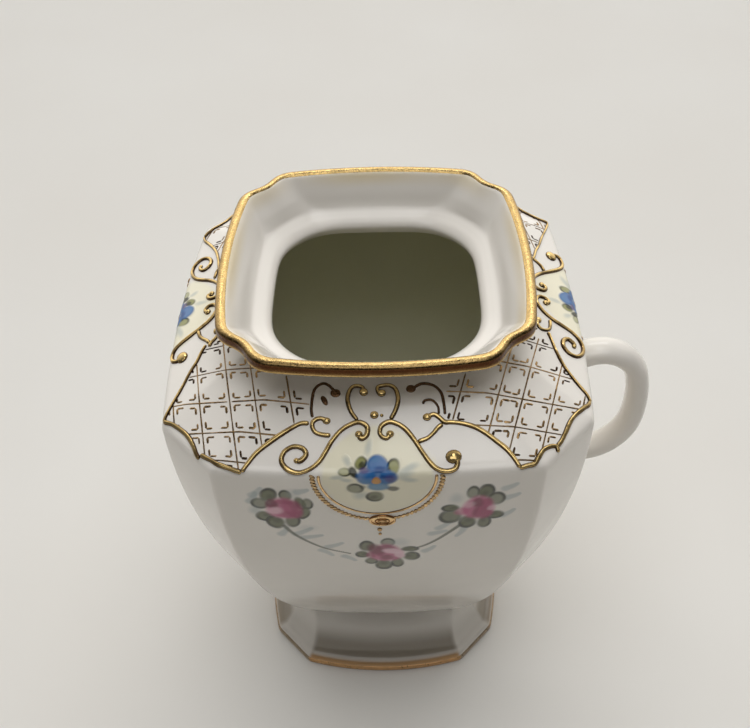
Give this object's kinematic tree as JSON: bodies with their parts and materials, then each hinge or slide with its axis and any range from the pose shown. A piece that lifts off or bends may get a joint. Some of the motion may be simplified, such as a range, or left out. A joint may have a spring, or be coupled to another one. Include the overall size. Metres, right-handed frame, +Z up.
{
  "type": "porcelain cream jug",
  "caption": "Square porcelain cream jug with cut corners, flared gilt lip, flared foot, a loop handle and raised gold scrollwork.",
  "frame": {"origin": "centre of the flat base that the jug stands on", "axes": "+Z up, +X towards the handle, -Y out of the front face"},
  "size_m": [0.0947, 0.0768, 0.1083],
  "materials": {
    "porcelain": "clear glaze over white porcelain, hand-painted with roses, blue flowers and a gold lattice",
    "raised_gold": "bright gilding over piped raised lines",
    "burnished_gold": "burnished gilding with brushed bands, rubbed at its edges"
  },
  "bodies": {
    "root": {"bowl": "porcelain", "mouth": "porcelain", "foot": "porcelain", "handle": "porcelain", "lip_gilding": "burnished_gold", "foot_gilding": "burnished_gold", "scroll_gilding_front": "raised_gold", "scroll_gilding_right": "raised_gold", "scroll_gilding_back": "raised_gold", "scroll_gilding_left": "raised_gold", "heart_gilding_front": "raised_gold", "heart_gilding_right": "raised_gold", "heart_gilding_back": "raised_gold", "heart_gilding_left": "raised_gold", "cartouche_arc_front": "raised_gold", "cartouche_arc_right": "raised_gold", "cartouche_arc_back": "raised_gold", "cartouche_arc_left": "raised_gold", "rope_swag_front": "raised_gold", "rope_swag_back": "raised_gold", "rope_swag_left": "raised_gold", "medallion_front": "raised_gold", "medallion_back": "raised_gold", "medallion_left": "raised_gold", "corner_gilding_front_right": "raised_gold", "corner_gilding_back_right": "raised_gold", "corner_gilding_back_left": "raised_gold", "corner_gilding_front_left": "raised_gold"}
  },
  "joints": []
}
